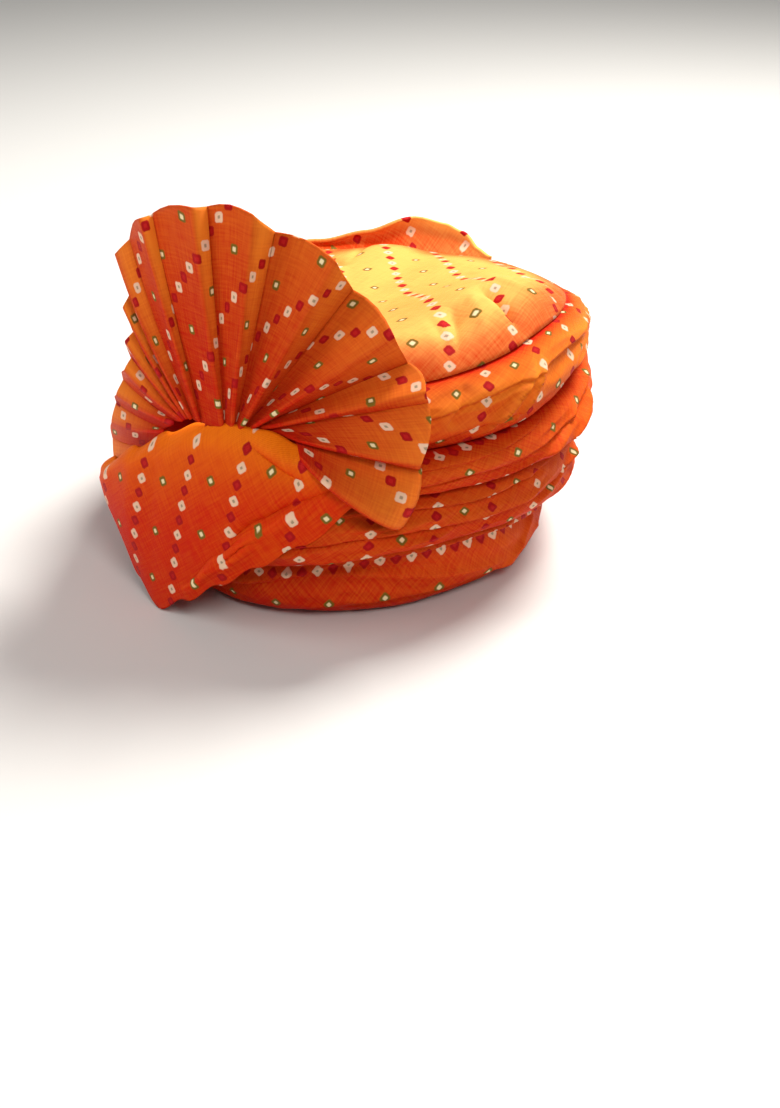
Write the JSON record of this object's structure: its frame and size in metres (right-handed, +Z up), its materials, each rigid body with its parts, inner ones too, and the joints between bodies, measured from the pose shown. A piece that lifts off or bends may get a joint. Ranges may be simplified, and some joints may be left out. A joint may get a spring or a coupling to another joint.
{
  "type": "tied turban (pagri)",
  "caption": "Ready-tied cloth turban with wound wraps round an open head hollow, a puffed crown, a smooth forehead band and a pleated fan standing at the front.",
  "frame": {"origin": "on the surface that the turban rests on, under the middle of its box", "axes": "+Z up, -Y the way the wearer looks, +X the wearer's left"},
  "size_m": [0.2694, 0.3052, 0.2311],
  "materials": {
    "wrap_cloth": "orange printed cotton with a soft sheen",
    "crown_cloth": "bright orange printed cotton with a soft sheen",
    "band_cloth": "orange printed cotton, drawn smooth",
    "fan_cloth": "orange printed cotton, starched and pleated"
  },
  "bodies": {
    "root": {"wrap_rim": "wrap_cloth", "wrap_lower": "wrap_cloth", "wrap_upper": "wrap_cloth", "wrap_top": "wrap_cloth", "crown_cloth": "crown_cloth", "crown_fold": "crown_cloth", "forehead_band": "band_cloth", "fan": "fan_cloth"}
  },
  "joints": []
}
